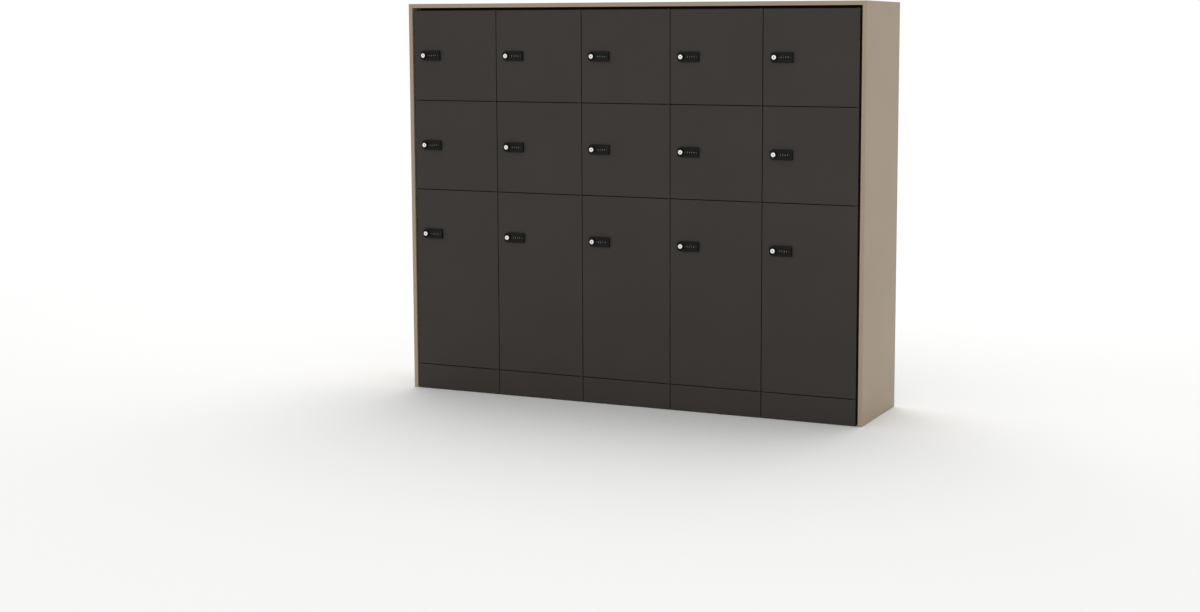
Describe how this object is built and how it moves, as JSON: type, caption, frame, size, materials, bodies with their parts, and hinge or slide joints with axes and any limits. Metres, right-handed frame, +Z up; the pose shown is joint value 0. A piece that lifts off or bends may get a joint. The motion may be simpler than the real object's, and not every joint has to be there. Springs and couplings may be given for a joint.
{
  "type": "locker unit",
  "caption": "Bank of steel lockers in a boarded surround: columns of hinged doors over a flush plinth, each door with a combination lock and a turning knob.",
  "frame": {"origin": "on the floor, in the middle of the overall box of the closed cabinet", "axes": "+X along the row of columns to the viewer's right, +Y from the doors to the back, +Z up"},
  "size_m": [2.0514, 0.458, 1.668],
  "materials": {
    "cladding_board": "taupe melamine on chipboard, satin",
    "packing_wood": "sawn softwood",
    "zinc_steel": "bright zinc",
    "carcass_steel": "dark warm grey powder coat",
    "door_steel": "dark warm grey powder coat, fine texture",
    "lock_plastic": "black moulded nylon",
    "lock_metal": "satin nickel key core in a black knob",
    "foot_plastic": "black moulded plastic on a zinc stud"
  },
  "bodies": {
    "cabinet": {"side_panel_left": "cladding_board", "side_panel_right": "cladding_board", "top_panel_short": "cladding_board", "top_panel_long": "cladding_board", "packing_strips": "packing_wood", "cladding_screws": "zinc_steel", "carcass_walls": "carcass_steel", "carcass_shelves": "carcass_steel", "levelling_feet": "foot_plastic", "plinth_panels": "door_steel", "pivot_hinges": "carcass_steel"},
    "door_r1c1": {"door_r1c1": "door_steel", "lock_r1c1": "lock_plastic"},
    "knob_r1c1": {"knob_r1c1": "lock_metal"},
    "door_r1c2": {"door_r1c2": "door_steel", "lock_r1c2": "lock_plastic"},
    "knob_r1c2": {"knob_r1c2": "lock_metal"},
    "door_r1c3": {"door_r1c3": "door_steel", "lock_r1c3": "lock_plastic"},
    "knob_r1c3": {"knob_r1c3": "lock_metal"},
    "door_r1c4": {"door_r1c4": "door_steel", "lock_r1c4": "lock_plastic"},
    "knob_r1c4": {"knob_r1c4": "lock_metal"},
    "door_r1c5": {"door_r1c5": "door_steel", "lock_r1c5": "lock_plastic"},
    "knob_r1c5": {"knob_r1c5": "lock_metal"},
    "number_wheel_1": {"number_wheel_1": "lock_plastic"},
    "number_wheel_2": {"number_wheel_2": "lock_plastic"},
    "number_wheel_3": {"number_wheel_3": "lock_plastic"},
    "number_wheel_4": {"number_wheel_4": "lock_plastic"},
    "door_r2c1": {"door_r2c1": "door_steel", "lock_r2c1": "lock_plastic"},
    "knob_r2c1": {"knob_r2c1": "lock_metal"},
    "door_r2c2": {"door_r2c2": "door_steel", "lock_r2c2": "lock_plastic"},
    "knob_r2c2": {"knob_r2c2": "lock_metal"},
    "door_r2c3": {"door_r2c3": "door_steel", "lock_r2c3": "lock_plastic"},
    "knob_r2c3": {"knob_r2c3": "lock_metal"},
    "door_r2c4": {"door_r2c4": "door_steel", "lock_r2c4": "lock_plastic"},
    "knob_r2c4": {"knob_r2c4": "lock_metal"},
    "door_r2c5": {"door_r2c5": "door_steel", "lock_r2c5": "lock_plastic"},
    "knob_r2c5": {"knob_r2c5": "lock_metal"},
    "door_r3c1": {"door_r3c1": "door_steel", "lock_r3c1": "lock_plastic"},
    "knob_r3c1": {"knob_r3c1": "lock_metal"},
    "door_r3c2": {"door_r3c2": "door_steel", "lock_r3c2": "lock_plastic"},
    "knob_r3c2": {"knob_r3c2": "lock_metal"},
    "door_r3c3": {"door_r3c3": "door_steel", "lock_r3c3": "lock_plastic"},
    "knob_r3c3": {"knob_r3c3": "lock_metal"},
    "door_r3c4": {"door_r3c4": "door_steel", "lock_r3c4": "lock_plastic"},
    "knob_r3c4": {"knob_r3c4": "lock_metal"},
    "door_r3c5": {"door_r3c5": "door_steel", "lock_r3c5": "lock_plastic"},
    "knob_r3c5": {"knob_r3c5": "lock_metal"}
  },
  "joints": [
    {"name": "door_r1c1_hinge", "type": "hinge", "parent": "cabinet", "child": "door_r1c1", "pos_m": [-0.6095, -0.206, 1.257], "axis": [0, 0, 1], "range_deg": [0, 100]},
    {"name": "knob_r1c1_turn", "type": "hinge", "parent": "door_r1c1", "child": "knob_r1c1", "pos_m": [-0.9483, -0.212, 1.4485], "axis": [0, 1, 0], "range_deg": [0, 90]},
    {"name": "door_r1c2_hinge", "type": "hinge", "parent": "cabinet", "child": "door_r1c2", "pos_m": [-0.2095, -0.206, 1.257], "axis": [0, 0, 1], "range_deg": [0, 100]},
    {"name": "knob_r1c2_turn", "type": "hinge", "parent": "door_r1c2", "child": "knob_r1c2", "pos_m": [-0.5483, -0.212, 1.4485], "axis": [0, 1, 0], "range_deg": [0, 90]},
    {"name": "door_r1c3_hinge", "type": "hinge", "parent": "cabinet", "child": "door_r1c3", "pos_m": [0.1905, -0.206, 1.257], "axis": [0, 0, 1], "range_deg": [0, 100]},
    {"name": "knob_r1c3_turn", "type": "hinge", "parent": "door_r1c3", "child": "knob_r1c3", "pos_m": [-0.1483, -0.212, 1.4485], "axis": [0, 1, 0], "range_deg": [0, 90]},
    {"name": "door_r1c4_hinge", "type": "hinge", "parent": "cabinet", "child": "door_r1c4", "pos_m": [0.5905, -0.206, 1.257], "axis": [0, 0, 1], "range_deg": [0, 100]},
    {"name": "knob_r1c4_turn", "type": "hinge", "parent": "door_r1c4", "child": "knob_r1c4", "pos_m": [0.2517, -0.212, 1.4485], "axis": [0, 1, 0], "range_deg": [0, 90]},
    {"name": "door_r1c5_hinge", "type": "hinge", "parent": "cabinet", "child": "door_r1c5", "pos_m": [0.9905, -0.206, 1.257], "axis": [0, 0, 1], "range_deg": [0, 100]},
    {"name": "knob_r1c5_turn", "type": "hinge", "parent": "door_r1c5", "child": "knob_r1c5", "pos_m": [0.6517, -0.212, 1.4485], "axis": [0, 1, 0], "range_deg": [0, 90]},
    {"name": "number_wheel_1_spin", "type": "hinge", "parent": "door_r1c5", "child": "number_wheel_1", "pos_m": [0.68, -0.2113, 1.4485], "axis": [1, 0, 0], "continuous": true},
    {"name": "number_wheel_2_spin", "type": "hinge", "parent": "door_r1c5", "child": "number_wheel_2", "pos_m": [0.69, -0.2113, 1.4485], "axis": [1, 0, 0], "continuous": true},
    {"name": "number_wheel_3_spin", "type": "hinge", "parent": "door_r1c5", "child": "number_wheel_3", "pos_m": [0.7, -0.2113, 1.4485], "axis": [1, 0, 0], "continuous": true},
    {"name": "number_wheel_4_spin", "type": "hinge", "parent": "door_r1c5", "child": "number_wheel_4", "pos_m": [0.71, -0.2113, 1.4485], "axis": [1, 0, 0], "continuous": true},
    {"name": "door_r2c1_hinge", "type": "hinge", "parent": "cabinet", "child": "door_r2c1", "pos_m": [-0.6095, -0.206, 0.874], "axis": [0, 0, 1], "range_deg": [0, 100]},
    {"name": "knob_r2c1_turn", "type": "hinge", "parent": "door_r2c1", "child": "knob_r2c1", "pos_m": [-0.9483, -0.212, 1.0655], "axis": [0, 1, 0], "range_deg": [0, 90]},
    {"name": "door_r2c2_hinge", "type": "hinge", "parent": "cabinet", "child": "door_r2c2", "pos_m": [-0.2095, -0.206, 0.874], "axis": [0, 0, 1], "range_deg": [0, 100]},
    {"name": "knob_r2c2_turn", "type": "hinge", "parent": "door_r2c2", "child": "knob_r2c2", "pos_m": [-0.5483, -0.212, 1.0655], "axis": [0, 1, 0], "range_deg": [0, 90]},
    {"name": "door_r2c3_hinge", "type": "hinge", "parent": "cabinet", "child": "door_r2c3", "pos_m": [0.1905, -0.206, 0.874], "axis": [0, 0, 1], "range_deg": [0, 100]},
    {"name": "knob_r2c3_turn", "type": "hinge", "parent": "door_r2c3", "child": "knob_r2c3", "pos_m": [-0.1483, -0.212, 1.0655], "axis": [0, 1, 0], "range_deg": [0, 90]},
    {"name": "door_r2c4_hinge", "type": "hinge", "parent": "cabinet", "child": "door_r2c4", "pos_m": [0.5905, -0.206, 0.874], "axis": [0, 0, 1], "range_deg": [0, 100]},
    {"name": "knob_r2c4_turn", "type": "hinge", "parent": "door_r2c4", "child": "knob_r2c4", "pos_m": [0.2517, -0.212, 1.0655], "axis": [0, 1, 0], "range_deg": [0, 90]},
    {"name": "door_r2c5_hinge", "type": "hinge", "parent": "cabinet", "child": "door_r2c5", "pos_m": [0.9905, -0.206, 0.874], "axis": [0, 0, 1], "range_deg": [0, 100]},
    {"name": "knob_r2c5_turn", "type": "hinge", "parent": "door_r2c5", "child": "knob_r2c5", "pos_m": [0.6517, -0.212, 1.0655], "axis": [0, 1, 0], "range_deg": [0, 90]},
    {"name": "door_r3c1_hinge", "type": "hinge", "parent": "cabinet", "child": "door_r3c1", "pos_m": [-0.6095, -0.206, 0.108], "axis": [0, 0, 1], "range_deg": [0, 100]},
    {"name": "knob_r3c1_turn", "type": "hinge", "parent": "door_r3c1", "child": "knob_r3c1", "pos_m": [-0.9483, -0.212, 0.6825], "axis": [0, 1, 0], "range_deg": [0, 90]},
    {"name": "door_r3c2_hinge", "type": "hinge", "parent": "cabinet", "child": "door_r3c2", "pos_m": [-0.2095, -0.206, 0.108], "axis": [0, 0, 1], "range_deg": [0, 100]},
    {"name": "knob_r3c2_turn", "type": "hinge", "parent": "door_r3c2", "child": "knob_r3c2", "pos_m": [-0.5483, -0.212, 0.6825], "axis": [0, 1, 0], "range_deg": [0, 90]},
    {"name": "door_r3c3_hinge", "type": "hinge", "parent": "cabinet", "child": "door_r3c3", "pos_m": [0.1905, -0.206, 0.108], "axis": [0, 0, 1], "range_deg": [0, 100]},
    {"name": "knob_r3c3_turn", "type": "hinge", "parent": "door_r3c3", "child": "knob_r3c3", "pos_m": [-0.1483, -0.212, 0.6825], "axis": [0, 1, 0], "range_deg": [0, 90]},
    {"name": "door_r3c4_hinge", "type": "hinge", "parent": "cabinet", "child": "door_r3c4", "pos_m": [0.5905, -0.206, 0.108], "axis": [0, 0, 1], "range_deg": [0, 100]},
    {"name": "knob_r3c4_turn", "type": "hinge", "parent": "door_r3c4", "child": "knob_r3c4", "pos_m": [0.2517, -0.212, 0.6825], "axis": [0, 1, 0], "range_deg": [0, 90]},
    {"name": "door_r3c5_hinge", "type": "hinge", "parent": "cabinet", "child": "door_r3c5", "pos_m": [0.9905, -0.206, 0.108], "axis": [0, 0, 1], "range_deg": [0, 100]},
    {"name": "knob_r3c5_turn", "type": "hinge", "parent": "door_r3c5", "child": "knob_r3c5", "pos_m": [0.6517, -0.212, 0.6825], "axis": [0, 1, 0], "range_deg": [0, 90]}
  ]
}
